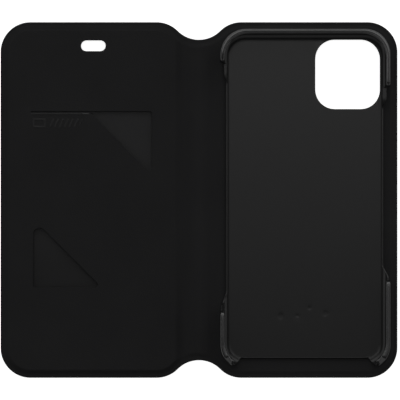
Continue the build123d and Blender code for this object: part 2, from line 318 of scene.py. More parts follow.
class Nodes:
    """A node tree round one Principled shader."""

    def __init__(self, name, roughness, specular):
        self.material = bpy.data.materials.new(name)
        self.material.use_nodes = True
        self.tree = self.material.node_tree
        self.shader = self.tree.nodes["Principled BSDF"]
        set_inputs(self.shader, {"Roughness": roughness, "Specular IOR Level": specular})
        self.place = self.add("ShaderNodeTexCoord").outputs["Object"]

    def add(self, kind, **settings):
        node = self.tree.nodes.new(kind)
        for key, value in settings.items():
            setattr(node, key, value)
        return node

    def link(self, output, socket):
        self.tree.links.new(output, socket)

    def texture(self, kind, output, numbers, place=None, **settings):
        """A texture's output, with numbers for its sockets and settings for its node."""
        node = self.add("ShaderNodeTex" + kind, **settings)
        set_inputs(node, numbers)
        self.link(place or self.place, node.inputs["Vector"])
        return node.outputs[output]

    def noise(self, scale, detail, rough=0.5):
        return self.texture("Noise", "Fac", {"Scale": scale, "Detail": detail, "Roughness": rough})

    def wave(self, scale, direction):
        return self.texture("Wave", "Fac", {"Scale": scale}, bands_direction=direction)

    def spread(self, value, low, high, new_low=0.0, new_high=1.0):
        node = self.add("ShaderNodeMapRange")
        set_inputs(node, {"From Min": low, "From Max": high, "To Min": new_low, "To Max": new_high})
        self.link(value, node.inputs["Value"])
        return node.outputs["Result"]

    def math(self, operation, a, b):
        node = self.add("ShaderNodeMath", operation=operation)
        for socket, value in zip(node.inputs, (a, b)):
            if isinstance(value, (int, float)):
                socket.default_value = value
            else:
                self.link(value, socket)
        return node.outputs["Value"]

    def colour(self, factor, dark, light):
        node = self.add("ShaderNodeMix", data_type="RGBA")
        set_inputs(node, {"A": grey(dark), "B": grey(light)})
        self.link(factor, node.inputs["Factor"])
        self.link(node.outputs["Result"], self.shader.inputs["Base Color"])

    def edges(self, low, high):
        """A mask of the outer edges."""
        return self.spread(self.add("ShaderNodeNewGeometry").outputs["Pointiness"], low, high)

    def roughness(self, value):
        self.link(value, self.shader.inputs["Roughness"])

    def bump(self, layers):
        """layers are (height, distance in millimetres), laid over one another."""
        normal = None
        for height, distance in layers:
            node = self.add("ShaderNodeBump")
            set_inputs(node, {"Distance": distance * MM})
            self.link(height, node.inputs["Height"])
            if normal:
                self.link(normal, node.inputs["Normal"])
            normal = node.outputs["Normal"]
        self.link(normal, self.shader.inputs["Normal"])


# Scales of the textures, in cycles to the metre, and the range that a noise mostly stays in.
WANDER_SCALE = 900.0
PATCH_SCALE = 38.0
WARP_SCALE, WEFT_SCALE, SLUB_SCALE = 1600.0, 1350.0, 420.0
SPARK_SCALE, FLOW_SCALE = 2600.0, 22.0
NOISE_RANGE = (0.3, 0.7)
# How far the leather's cells are bent out of true, and the heights of its patches, cells and fine grain.
WANDER = 0.5
PATCH_HEIGHT, PEBBLE_HEIGHT, FINE_HEIGHT = 0.02, 0.035, 0.008
# Where along the pocket the painted light on the cloth starts and ends: its colour is painted paler towards the
# pocket's top end, where the light falls more.
CLOTH_LIGHT_RAMP = (-30.0, 30.0)
BUMPER_IOR = 1.58


def bent_place(m):
    """The object's own coordinates, bent a little, so that cells do not lie in rows."""
    bent = m.add("ShaderNodeVectorMath", operation="ADD")
    wander = m.texture("Noise", "Color", {"Scale": WANDER_SCALE})
    scaled = m.add("ShaderNodeVectorMath", operation="SCALE")
    set_inputs(scaled, {"Scale": WANDER * MM})
    m.link(wander, scaled.inputs[0])
    m.link(m.place, bent.inputs[0])
    m.link(scaled.outputs["Vector"], bent.inputs[1])
    return bent.outputs["Vector"]


def leather_material(name, dark, light, specular, roughness, grain, relief=1.0):
    """Fine pebbled leather: cells with creases between them, soft patches and slightly rubbed high spots.
    grain is the cells' size in millimetres; relief scales their height."""
    m = Nodes(name, roughness, specular)
    cells = m.texture("Voronoi", "Distance", {"Scale": 1 / (grain * MM)}, bent_place(m), feature="SMOOTH_F1")
    pebbles = m.spread(cells, 0.1, 0.75, 1.0, 0.0)
    fine = m.noise(3.5 / (grain * MM), 2.0)
    patches = m.noise(PATCH_SCALE, 3.0)
    rubbed = m.edges(0.502, 0.53)
    tone = m.math("ADD", m.spread(patches, *NOISE_RANGE, 0.0, 0.55), m.math("MULTIPLY", rubbed, 0.45))
    m.colour(m.math("ADD", tone, m.math("MULTIPLY", pebbles, 0.12)), dark, light)
    handled = m.math("ADD", patches, m.math("MULTIPLY", pebbles, 0.25))
    m.roughness(m.spread(handled, 0.4, 0.9, roughness + 0.06, roughness - 0.07))
    m.bump([(patches, PATCH_HEIGHT), (pebbles, PEBBLE_HEIGHT * relief), (fine, FINE_HEIGHT * relief)])
    return m.material


def cloth_material(name):
    """A fine satin weave for the pocket's back, with painted light: its colour grows paler towards the pocket's
    top end, at its mouth, where the light falls more.
    """
    m = Nodes(name, roughness=0.42, specular=0.22)
    set_inputs(m.shader, {"Sheen Weight": 0.12, "Sheen Roughness": 0.4})
    warp = m.wave(WARP_SCALE, "X")
    weft = m.wave(WEFT_SCALE, "Y")
    weave = m.math("MAXIMUM", warp, m.math("MULTIPLY", weft, 0.8))
    slubs = m.noise(SLUB_SCALE, 2.0)
    place = m.add("ShaderNodeSeparateXYZ")
    m.link(m.place, place.inputs["Vector"])
    # Painted light: the cloth's colour grows paler towards the top end of the pocket, where the light falls more.
    painted_top_light = m.spread(place.outputs["Y"], CLOTH_LIGHT_RAMP[0] * MM, CLOTH_LIGHT_RAMP[1] * MM, -0.35, 0.9)
    thread = m.math("ADD", m.math("MULTIPLY", weave, 0.6), m.math("MULTIPLY", slubs, 0.4))
    m.colour(m.math("ADD", thread, painted_top_light), 0.011, 0.021)
    m.roughness(m.spread(slubs, *NOISE_RANGE, 0.38, 0.48))
    m.bump([(weave, 0.012), (slubs, 0.008)])
    return m.material


def plastic_material(name, dark, light, roughness, specular, texture, wear):
    """Moulded plastic: a spark-eroded fine texture, faint flow patches, and edges worn slightly smoother.
    texture is the fine texture's height in millimetres; wear is how much paler the edges are."""
    m = Nodes(name, roughness, specular)
    spark = m.noise(SPARK_SCALE, 2.0, 0.6)
    flow = m.noise(FLOW_SCALE, 4.0, 0.55)
    worn = m.edges(0.505, 0.56)
    tone = m.spread(flow, *NOISE_RANGE, 0.1, 0.7)
    m.colour(m.math("ADD", tone, m.math("MULTIPLY", worn, wear)), dark, light)
    base = m.spread(flow, *NOISE_RANGE, roughness - 0.008, roughness + 0.012)
    m.roughness(m.math("SUBTRACT", base, m.math("MULTIPLY", worn, 0.06)))
    m.bump([(flow, 0.004), (spark, texture)])
    return m.material


def plain_material(name, dark, light, scale, height):
    """A matt finish for the parts inside. scale is its grain's, height its relief in millimetres."""
    m = Nodes(name, roughness=0.8, specular=0.3)
    grain = m.noise(scale, 4.0, 0.6)
    m.colour(m.spread(grain, *NOISE_RANGE), dark, light)
    m.roughness(m.spread(grain, *NOISE_RANGE, 0.7, 0.9))
    m.bump([(grain, height)])
    return m.material


LEATHER = leather_material("outer_leather", 0.0088, 0.014, specular=0.32, roughness=0.54, grain=0.85,
                           relief=2.2)
LINING = leather_material("inner_lining", 0.0195, 0.0221, specular=0.1, roughness=0.66, grain=0.42)
EDGE_PAINT = leather_material("edge_paint", 0.016, 0.024, specular=0.7, roughness=0.34, grain=0.9)
PRESSED = leather_material("pressed_leather", 0.016, 0.022, specular=0.22, roughness=0.42, grain=0.42)
CLOTH = cloth_material("pocket_cloth")
TRAY_PLASTIC = plastic_material("tray_plastic", 0.006, 0.0085, roughness=0.29, specular=0.45,
                                texture=0.003, wear=0.5)
BUMPER_PLASTIC = plastic_material("bumper_rim", 0.006, 0.010, roughness=0.23, specular=1.0,
                                  texture=0.0015, wear=0.4)
set_inputs(BUMPER_PLASTIC.node_tree.nodes["Principled BSDF"], {"IOR": BUMPER_IOR})
BOARD = plain_material("stiffener_board", 0.05, 0.09, scale=900.0, height=0.03)
FOAM = plain_material("padding_foam", 0.02, 0.04, scale=2400.0, height=0.05)
FILM = plain_material("adhesive_film", 0.25, 0.35, scale=300.0, height=0.01)


# ---- Cover outline ----
# Mesh steps, how far the folds' go into the panels, and how near to an edge a point may be.
PANEL_STEP = 2.4
FOLD_STEP = 0.4
SPINE_STEP = 0.8
FOLD_REACH = 6.0
FOLD_MARGIN = 0.6
GRID_GAP = 0.3
# Counts of steps along each stretch of the outline, and along the middle of the spine.
NECK_STEPS, CORNER_STEPS, END_STEPS, SIDE_STEPS, MIDDLE_STEPS = 20, 28, 36, 44, 62
# The distance that a point beyond the rings is given.
FAR = 99.0


def half_outline(inset, side):
    """Half of the cover's outline, from the neck at one end round to the neck at the other, open at x 0.
    side is 1 for the tray's half and -1 for the flap's, and the loop runs counterclockwise."""
    r, top = CORNER_R, HALF_L - CORNER_R
    neck_centre = (0.0, HALF_L - NECK_DEPTH + r)
    upper = arc(neck_centre, r + inset, 270, NECK_SWING, NECK_STEPS)[:-1]
    upper += arc((NECK_REACH, top), r - inset, 90 + NECK_SWING, -NECK_SWING, NECK_STEPS)[:-1]
    upper += between((NECK_REACH, HALF_L - inset), (HALF_W - r, HALF_L - inset), END_STEPS)
    upper += arc((HALF_W - r, top), r - inset, 90, -90, CORNER_STEPS)[:-1]
    upper += between((HALF_W - inset, top), (HALF_W - inset, 0), SIDE_STEPS)
    half = upper + [(HALF_W - inset, 0.0)] + [(x, -y) for x, y in reversed(upper)]
    return half[::-1] if side > 0 else [(-x, y) for x, y in half]


def cover_grid(side, fine):
    """Mesh points for half the cover, closer together over the fold. Fine points, where there are any,
    stand in for those in their own area."""
    fold = abs(BACK_CREASE.x)
    bend_end = fold - FOLD_HALF_WIDTH - FOLD_MARGIN
    columns = list(np.arange(HALF_W, fold + FOLD_REACH + 1, -PANEL_STEP))
    columns += list(np.arange(fold + FOLD_REACH, bend_end, -FOLD_STEP))
    columns += list(np.arange(bend_end - FOLD_MARGIN, GRID_GAP, -SPINE_STEP))
    rows = np.arange(-HALF_L, HALF_L, PANEL_STEP)
    points = [(side * x, y) for x in columns for y in rows]
    if len(fine):
        low, high = np.min(fine, axis=0) - GRID_GAP, np.max(fine, axis=0) + GRID_GAP
        points = [p for p in points if not (low[0] < p[0] < high[0] and low[1] < p[1] < high[1])]
    return [*points, *fine]


def cover_sheet(side, insets, holes, hole_rings, fine=()):
    """The plan of half the cover: rings along its edge, loops round its holes, and points between. With it
    go each point's distance from the cover's edge and from the nearest hole, FAR beyond the rings."""
    sheet, edge, lip = Sheet(), {}, {}
    inner = sheet.add_rings([(inset, half_outline(inset, side)) for inset in insets], edge, closed=False)
    middle_line = between(sheet.points[inner[-1]], sheet.points[inner[0]], MIDDLE_STEPS)
    middle = sheet.add_ring(middle_line[1:])
    loops = [sheet.add_hole(*hole, hole_rings, lip) for hole in holes]
    sheet.fill([*inner, *middle], loops, cover_grid(side, fine), GRID_GAP)
    return sheet, sheet.marked(edge, FAR), sheet.marked(lip, FAR)


# ---- Card pocket and holes in the flap ----
SLIT_WIDTH = 0.5
NOTCH_LEG = 29.9
PUSH_LEG = 32.5
PUSH_SIDE = 1.0
PUSH_FOOT = 2.7
MOUTH_RADII = [0.2, 0.8, 1.4, 1.2, 0.2]
PUSH_RADII = [0.8, 1.4, 3.0]
EARPIECE_LENGTH, EARPIECE_WIDTH = 11.7, 5.2
EARPIECE = Vector((-50.0, 73.0))
CAMERA_BOX = named(frame["record"]["physics"]["openings"], "camera_window")["box_m"]
CAMERA = (Vector(CAMERA_BOX[0]) / MM + Vector(CAMERA_BOX[1]) / MM) / 2
CAMERA_WIDTH, CAMERA_LENGTH, CAMERA_R = 30.7, 32.9, 9.2
COLLAR_T = 1.0


def pocket_mouth():
    """The slit along the pocket's top and the thumb notch at its right, as one opening."""
    left, right, top = POCKET_LOW.x, POCKET_HIGH.x, POCKET_HIGH.y
    low = top - SLIT_WIDTH
    notch = [(right - NOTCH_LEG + SLIT_WIDTH, low), (right, top - NOTCH_LEG)]
    return [(left, low), *notch, (right, top), (left, top)], MOUTH_RADII


def push_window():
    x, y = POCKET_LOW.x + PUSH_SIDE, POCKET_LOW.y + PUSH_FOOT
    return [(x, y), (x + PUSH_LEG, y), (x, y + PUSH_LEG)], PUSH_RADII


def earpiece_slot():
    r = EARPIECE_WIDTH / 2 - 0.01
    return rectangle(EARPIECE, EARPIECE_LENGTH, EARPIECE_WIDTH), [r] * 4


def camera_hole(grow):
    corners = rectangle(CAMERA, CAMERA_WIDTH + 2 * grow, CAMERA_LENGTH + 2 * grow)
    return corners, [CAMERA_R + grow] * 4


# ---- Lining ----
LINING_RINGS = [0.3, 0.32, 0.36, 0.43, 0.53, 0.64, 0.72, 0.95, 1.3, 1.5, 1.7, 1.95, 2.3, 2.8, 3.3, 3.6, 3.8,
                4.0, 4.2, 4.4, 4.9]
LINING_EDGE_R = 0.42
SEAM_WIDTH = 1.0
LIP_RINGS = [0.0, 0.03, 0.08, 0.15, 0.25, 0.4, 0.6, 0.8]
LIP_R = 0.2
# The painted edge under the slit: its width, its rounding, and the bead that runs along it.
MOUTH_EDGE_WIDTH = 0.9
MOUTH_LIP_R = 0.45
BEAD_RISE = 0.12
BEAD_PLACE = 0.45
BEAD_WIDTH = 0.2
VALLEY_Z = SEAM_TOP + 0.35
VALLEY_HALF_WIDTH = 4.6
RIDGE_HALF_WIDTH = 2.6
# The pressed pattern: where it starts, its size, its line, its card's width, and its bars.
EMBOSS_AT = (-78.6, 34.2)
EMBOSS_SIZE = (24.0, 4.2)
STROKE_HALF = 0.25
STROKE_SOFTNESS = 0.3
EMBOSS_STEP = 0.3
CARD_WIDTH = 6.0
CARD_INSET = 0.35
BARS_AT = 8.0
BARS_LENGTH = 13.8
BAR_PITCH = 2.3
BAR_SLANT = 0.45
EMBOSS_DEPTH = 0.16


def panel_height(x):
    """The lining's height along the middle of the case: flap, crease, spine ridge, crease, back."""
    crease = abs(BACK_CREASE.x)
    panel = FLAP_TOP if x < 0 else BACK_TOP
    away = abs(x) - crease
    if away > 0:
        return VALLEY_Z + (panel - VALLEY_Z) * eased(away / VALLEY_HALF_WIDTH, 0.45)
    return VALLEY_Z + (BACK_TOP - VALLEY_Z) * eased(-away / (crease - RIDGE_HALF_WIDTH), 0.5)


def on_mouth_lip(x, y):
    """Whether a place is on the edge of the pocket's panel, under the slit."""
    below = POCKET_HIGH.y - SLIT_WIDTH - y
    return POCKET_LOW.x < x < POCKET_HIGH.x - NOTCH_LEG and -0.01 < below < MOUTH_EDGE_WIDTH


def stroke(distance):
    """How fully a line is pressed at a distance from its middle, 0 to 1."""
    return smooth(1 - (distance - STROKE_HALF) / STROKE_SOFTNESS)


def emboss(x, y):
    """Height of the pressed pattern on the pocket's panel: a card's outline and a row of slanted bars."""
    x, y, (width, height) = x - EMBOSS_AT[0], y - EMBOSS_AT[1], EMBOSS_SIZE
    if not (-1 < x < width + 1 and -1 < y < height + 1):
        return 0.0
    half = CARD_WIDTH / 2
    share = stroke(abs(max(abs(x - half) - half, abs(y - height / 2) - height / 2) + CARD_INSET))
    along = x - BAR_SLANT * y - BARS_AT
    if -0.6 < along < BARS_LENGTH and 0 < y < height:
        share = max(share, stroke(abs((along + BAR_PITCH / 2) % BAR_PITCH - BAR_PITCH / 2)))
    return EMBOSS_DEPTH * share


def emboss_grid():
    points = grid((-0.7, -0.6), (EMBOSS_SIZE[0] + 0.7, EMBOSS_SIZE[1] + 0.7), EMBOSS_STEP)
    return [(EMBOSS_AT[0] + x, EMBOSS_AT[1] + y) for x, y in points]


def lining_top(x, inset):
    """The lining's height at a place across the case and a distance in from the cover's edge."""
    bevel = FLAP_BEVEL if x < 0 else BACK_BEVEL
    return SEAM_TOP + (panel_height(x) - SEAM_TOP) * eased((inset - BEVEL_START) / bevel, 0.35)


def flap_relief(x, y, away):
    """What a place on the flap's lining stands above a plain one: its lips, bead and pressed pattern."""
    if on_mouth_lip(x, y):
        bead = BEAD_RISE * math.exp(-(((away - BEAD_PLACE) / BEAD_WIDTH) ** 2))
        return bead - rounding(away, MOUTH_LIP_R)
    return emboss(x, y) - rounding(away, LIP_R)


def finish_flap_lining(piece):
    """Paint on the pocket's edge and gloss on the pressed pattern, as two more materials."""
    piece.data.materials.append(EDGE_PAINT)
    piece.data.materials.append(PRESSED)
    for face in piece.data.polygons:
        x, y = face.center.x / MM, face.center.y / MM
        if face.normal.z < 0.05:
            continue
        if on_mouth_lip(x, y + 0.3):
            face.material_index = 1
        elif emboss(x, y) > EMBOSS_DEPTH / 4:
            face.material_index = 2


def lining(side, name):
    """Half of the lining: a flat seam along its edge, a bevel, a level panel, and its openings."""
    flap = side < 0
    holes = [pocket_mouth(), push_window(), earpiece_slot()] if flap else [camera_hole(COLLAR_T)]
    sheet, edge, lip = cover_sheet(side, LINING_RINGS, holes, LIP_RINGS, emboss_grid() if flap else ())
    upper, lower = [], []
    for (x, y), inset, away in zip(sheet.points, edge, lip):
        # A point at x 0 belongs to this half's side of the spine.
        z = lining_top(x or side * TINY, inset) - rounding(inset - LINING_SETBACK, LINING_EDGE_R)
        lower.append(SKIN_TOP if inset < SEAM_WIDTH else max(SKIN_TOP, z - LINING_T))
        upper.append(z + flap_relief(x, y, away) if flap else z - rounding(away, LIP_R))
    piece = sheet.solid(name, upper, lower, LINING)
    if flap:
        finish_flap_lining(piece)
    return piece


# ---- Outer skin ----
SKIN_RINGS = [0.0, 0.02, 0.08, 0.18, 0.32, 0.5, 0.8, 1.5, 3.0]
SKIN_EDGE_R = 0.44
SKIN_EDGE_LAND = 0.02
SKIN_GAP = 0.1
CREASE_GROOVE = 0.12
CREASE_WIDTH = 0.7


def outer_skin(side, name):
    """Half of the outer leather, its edge rolled up towards the lining, with a pressed line at the fold."""
    holes = [earpiece_slot()] if side < 0 else [camera_hole(COLLAR_T + SKIN_GAP)]
    sheet, edge, lip = cover_sheet(side, SKIN_RINGS, holes, LIP_RINGS)
    upper, lower = [], []
    for (x, _), inset, away in zip(sheet.points, edge, lip):
        groove = CREASE_GROOVE * math.exp(-(((abs(x) - BACK_CREASE.x) / CREASE_WIDTH) ** 2))
        rolled = rounding(inset, SKIN_EDGE_R)
        lower.append(min(rolled, SKIN_EDGE_R - SKIN_EDGE_LAND) + rounding(away, LIP_R) + groove)
        upper.append(SKIN_TOP - rolled)
    return sheet.solid(name, upper, lower, LEATHER)


# ---- Flap padding ----
PAD_RINGS = [0.0, 0.05, 0.15, 0.3, 0.5, 0.8, 1.2, 1.8]
PAD_EDGE_R = 0.3
PAD_CORNER_R = 5.0
PAD_CLEARANCE = 0.05


def pad_corners():
    """The pad's outline, its sides cut off slantwise where the cover narrows to its neck."""
    low, high = cad_box("flap_padding")
    neck_r = CORNER_R + HALF_W + low.x
    neck_y = HALF_L - NECK_DEPTH + CORNER_R - math.sqrt(neck_r**2 - high.x**2)
    right = [(-NECK_REACH, low.y), (high.x, -neck_y), (high.x, neck_y), (-NECK_REACH, high.y)]
    return [(low.x, low.y), *right, (low.x, high.y)]


def flap_pad():
    """Foam between the flap's board and lining, open where the card and the earpiece slot are."""
    sheet, edge, lip = Sheet(), {}, {}
    low = cad_box("flap_padding")[0]
    inset = HALF_W + low.x
    radii = [CORNER_R - inset, *[PAD_CORNER_R] * 4, CORNER_R - inset]
    outline = [(step, rounded_loop(pad_corners(), radii, -step)) for step in PAD_RINGS]
    inner = sheet.add_rings(outline, edge)
    card = rectangle((POCKET_LOW + POCKET_HIGH) / 2, *(POCKET_HIGH - POCKET_LOW).xy)
    holes = [(card, [PAD_CLEARANCE] * 4), earpiece_slot()]
    loops = [sheet.add_hole(*hole, PAD_RINGS, lip, PAD_CLEARANCE) for hole in holes]
    sheet.fill(inner, loops, grid((-HALF_W, -HALF_L), (0, HALF_L), PANEL_STEP), GRID_GAP)
    upper = []
    for (x, _), step, away in zip(sheet.points, sheet.marked(edge, FAR), sheet.marked(lip, FAR)):
        z = lining_top(x, min(inset + step, FAR)) - LINING_T - PAD_CLEARANCE
        upper.append(z - rounding(min(step, away), PAD_EDGE_R))
    return sheet.solid("flap_pad", upper, [low.z + PAD_CLEARANCE] * len(upper), FOAM)


# ---- Pocket cloth ----
CLOTH_MARGIN = 0.4
CLOTH_STEP = 1.2
CLOTH_T = 0.2
CLOTH_DROP = 0.08


def cloth_ripple(u, v):
    """The cloth's slack, at a place given as shares of its width and length, less towards its edges."""
    ripple = 0.05 * math.sin(7 * u + 4 * v) + 0.04 * math.sin(11 * v - 3 * u)
    return ripple * min(1.0, 6 * min(u, v, 1 - u, 1 - v) + 0.1)


def pocket_cloth():
    """The cloth behind the card: gently slack, its edges tucked under the lining all round."""
    sheet = Sheet()
    low, high = POCKET_LOW, POCKET_HIGH
    width, length = high.x - low.x - CLOTH_MARGIN, high.y - low.y - CLOTH_MARGIN
    corners = rectangle((low + high) / 2, width, length)
    outline = sheet.add_ring(rounded_loop(corners, [CLOTH_MARGIN] * 4))
    sheet.fill(outline, [], grid(low, high, CLOTH_STEP), CLOTH_MARGIN)
    shares = [((x - low.x) / width, (y - low.y) / length) for x, y in sheet.points]
    upper = [high.z - CLOTH_DROP + cloth_ripple(u, v) for u, v in shares]
    return sheet.solid("pocket_cloth", upper, [z - CLOTH_T for z in upper], CLOTH)


# ---- Tray ----
SEAT_STEP = 0.8
SEAT_ARC_STEPS = 28
# How the shell's wall ends: its reach past the seat's side, its lip's width and rise, its edge's rounding.
FULL_WALL = (SIDE_T, 0.65, 0.1, 0.22)
LOW_EDGE = (-1.8, 0.65, 0.1, 0.22)
PORT_EDGE = (-3.4, 1.0, 0.05, 0.95)
PORT_SLOPE = 1.0
PORT_ANGLE = 64.0
# The same along each long side, after the place along it, and round the lower corners, after the angle.
LEFT_STOPS = [
    (-49.4, *FULL_WALL), (-49.2, 0.1, 0.65, 0.3, 0.2), (-44.1, *LOW_EDGE), (55.4, *LOW_EDGE),
    (56.3, -1.9, 0.4, 0.4, 0.22), (58.8, -0.8, 1.3, 0.5, 0.3), (64.4, -0.7, 1.4, 0.5, 0.3),
    (64.7, *FULL_WALL),
]
RIGHT_STOPS = [
    (-37.0, *FULL_WALL), (-35.6, 0.3, 0.65, 0.3, 0.2), (-31.9, *LOW_EDGE), (44.0, *LOW_EDGE),
    (44.5, -1.9, 0.45, 1.2, 0.22), (46.9, -0.4, 1.9, 1.5, 0.22), (52.8, -0.3, 2.0, 1.5, 0.22),
    (53.1, *FULL_WALL),
]
CORNER_STOPS = [(PORT_ANGLE, *FULL_WALL), (PORT_ANGLE + 9, *PORT_EDGE)]
# Rings of mesh points: over the edge, as shares of its rounding; down the lip; and into the bowl.
EDGE_SHARES = [0.0, 0.04, 0.14, 0.3, 0.5, 0.75, 1.0]
LIP_OFFSETS = [-0.03, 0.0, 0.04, 0.08, 0.12, 0.16]
LIP_LEAD, LIP_SLOPE = 0.12, 0.14
BOWL_STEPS = 9
BOWL_END = -2.8
CURVE_OFFSETS = (-3.2, -3.6, -4.1, -4.8, -6.5)
FLOOR_STEP = 3.0
FLOOR_INSET = 8.0
FLOOR_GAP = 0.25
WINDOW_RINGS = [0.0, 0.04, 0.12, 0.25, 0.4]
WINDOW_EDGE_R = 0.25
# The mould marks in the floor: place and radius, then the rings over each, as (share of radius, of depth).
FLOOR_MARKS = [((38.6, -54.8), 2.0), ((46.5, -54.7), 1.2), ((52.2, -51.0), 1.3), ((59.8, -53.6), 1.9)]
FLOOR_MARK_DEPTH = 0.05
MARK_RINGS = [(0.35, 1.0), (0.5, 0.85), (0.65, 0.5), (0.8, 0.15), (0.95, 0.0)]
MARK_SIDES = 24
COLLAR_LOW = 0.2
COLLAR_CHAMFER = 0.15
COLLAR_ARC_STEPS = 14


def corner_stations(x_side, y_side, start, turn, count):
    """Stations round one corner of the seat, both ends included: point and outward normal."""
    centre = Vector((x_side * (SEAT_HALF.x - SEAT_R), y_side * (SEAT_HALF.y - SEAT_R)))
    normals = [Vector(p) for p in arc((0, 0), 1, start, turn, count)]
    return [(centre + normal * SEAT_R, normal) for normal in normals]


def seat_path():
    """Stations round the seat, counterclockwise from the middle of the bottom."""
    (w, h), r = SEAT_HALF, SEAT_R
    runs = [((0, -h), (w - r, -h)), ((w, r - h), (w, h - r)), ((w - r, h), (r - w, h))]
    runs += [((-w, h - r), (-w, r - h)), ((r - w, -h), (0, -h))]
    corners = [(1, -1), (1, 1), (-1, 1), (-1, -1)]
    stations = []
    for k, (a, b) in enumerate(runs):
        a, b = Vector(a), Vector(b)
        normal = Vector(((b - a).y, -(b - a).x)).normalized()
        count = max(1, round((b - a).length / SEAT_STEP))
        stations += [(a + (b - a) * i / count, normal) for i in range(count)]
        if k < len(corners):
            stations += corner_stations(*corners[k], 270 + 90 * k, 90, SEAT_ARC_STEPS)[:-1]
    return stations


def along_stops(place, stops):
    """The wall's four measures at a place, straight between the stops."""
    places, *columns = zip(*stops)
    return [float(np.interp(place, places, column)) for column in columns]


def wall_shape(point, normal):
    """How the shell's wall ends at a station: right up at the corners, low beside the buttons."""
    if normal.y < -0.05:
        return along_stops(math.degrees(math.asin(-normal.y)), CORNER_STOPS)
    if abs(normal.x) > 0.999:
        return along_stops(point.y, LEFT_STOPS if normal.x < 0 else RIGHT_STOPS)
    return FULL_WALL


def rounded_distance(place, half, radius):
    """Signed distance of a point from a rounded rectangle about the origin, negative inside."""
    x, y = abs(place[0]) - (half.x - radius), abs(place[1]) - (half.y - radius)
    return (math.hypot(x, y) if x > 0 and y > 0 else max(x, y)) - radius


def bowl(n, base, radius):
    """Height, at an offset from the seat's side, of a flat base that turns up in a quarter round."""
    reach = min(max(n + SEAT_EDGE_R, 0.0), radius)
    return base + radius - math.sqrt(radius**2 - reach**2)


def bowl_inner(n):
    return bowl(n, FLOOR_TOP, SEAT_EDGE_R)


def bowl_outer(n):
    return bowl(n, TRAY_BASE, SEAT_EDGE_R + SIDE_T)


def shell_top(n, shape):
    """Height of the shell's upper surface at an offset n, where its wall ends in the given shape."""
    reach, width, rise, edge = shape
    crest = min(WALL_TOP, bowl_inner(reach - width) + rise)
    share = smooth((n - (reach - width - LIP_LEAD)) / LIP_SLOPE)
    z = min(bowl_inner(n), WALL_TOP) * (1 - share) + crest * share
    if edge > PORT_EDGE[-1] / 2:
        return z - PORT_SLOPE * eased(1 - (reach - n) / edge, 0.1)
    return z - rounding(reach - n, edge)


def wall_offsets(shape):
    """Where the shell's rings lie at one station: over its wall's edge, down its lip and into the bowl."""
    reach, width, _, edge = shape
    lip = [reach - width - step for step in LIP_OFFSETS]
    run = min(BOWL_END, reach - width - 0.9) - lip[-1]
    curve = [lip[-1] + run * ((i + 1) / BOWL_STEPS) ** 1.5 for i in range(BOWL_STEPS)]
    return [reach - edge * share for share in EDGE_SHARES] + lip + curve


def add_floor_marks(sheet):
    """Rings over each mould mark: the outer ring of each, and how far each point is sunk, as a share."""
    loops, sunk = [], {}
    for place, radius in FLOOR_MARKS:
        first = len(sheet.points)
        circles = [(sink, arc(place, radius * share, 0, 360, MARK_SIDES)[:-1]) for share, sink in MARK_RINGS]
        loops.append(sheet.add_rings(circles, sunk, outwards=True))
        sheet.faces.append(tuple(range(first, first + MARK_SIDES)))
    return loops, sunk


def tray_grid(stations):
    """Mesh points for the tray's floor, closer together where it curves up into the walls."""
    curve = [TRAY + point + normal * n for n in CURVE_OFFSETS for point, normal in stations[::2]]
    half = SEAT_HALF - Vector((FLOOR_INSET, FLOOR_INSET))
    return curve + [(TRAY.x + x, TRAY.y + y) for x, y in grid(-half, half, FLOOR_STEP)]


def tray_shell():
    """The moulded tray: a floor that curves up into its walls, with a low raised edge where they stop."""
    sheet, window = Sheet(), {}
    stations = seat_path()
    shapes = [wall_shape(*station) for station in stations]
    levels = list(zip(*(wall_offsets(shape) for shape in shapes)))
    rings = [[TRAY + point + normal * n for (point, normal), n in zip(stations, level)] for level in levels]
    inner = sheet.add_rings([(None, ring) for ring in rings], {})
    heights = [shell_top(n, shape) for level in levels for n, shape in zip(level, shapes)]
    bottoms = [bowl_outer(n) for level in levels for n in level]
    first = len(heights)
    loop = sheet.add_hole(*camera_hole(0), WINDOW_RINGS, window)
    mark_loops, sunk = add_floor_marks(sheet)
    sheet.fill(inner, [loop, *mark_loops], tray_grid(stations), FLOOR_GAP)
    for i, (x, y) in enumerate(sheet.points[first:], first):
        n = rounded_distance((x - TRAY.x, y - TRAY.y), SEAT_HALF, SEAT_R)
        z = bowl_inner(n) - FLOOR_MARK_DEPTH * sunk.get(i, 0.0)
        heights.append(z - rounding(window.get(i, FAR), WINDOW_EDGE_R))
        bottoms.append(bowl_outer(n))
    return sheet.solid("phone_tray", heights, bottoms, TRAY_PLASTIC)


def sweep(name, rings, material, closed=False):
    """A solid through cross-sections of as many points, its ends capped."""
    k, n = len(rings[0]), len(rings)
    faces = []
    for i in range(n if closed else n - 1):
        here, there = i * k, (i + 1) % n * k
        faces += [(here + a, there + a, there + (a + 1) % k, here + (a + 1) % k) for a in range(k)]
    if not closed:
        faces += [tuple(range(k)), tuple(range(n * k - 1, (n - 1) * k - 1, -1))]
    return make_object(name, [p for ring in rings for p in ring], faces, material)


def camera_collar():
    """The wall of the camera window, through the back of the case."""
    cut, low, high = COLLAR_CHAMFER, COLLAR_LOW, FLOOR_TOP - COLLAR_CHAMFER
    section = [(0.0, low + cut), (cut, low), (COLLAR_T - cut, low), (COLLAR_T, low + cut)]
    section += [(COLLAR_T, high), (0.0, high)]
    loops = [rounded_loop(*camera_hole(0), grow, COLLAR_ARC_STEPS) for grow, _ in section]
    rings = [[(*loop[i], z) for loop, (_, z) in zip(loops, section)] for i in range(len(loops[0]))]
    return sweep("camera_collar", rings, TRAY_PLASTIC, closed=True)


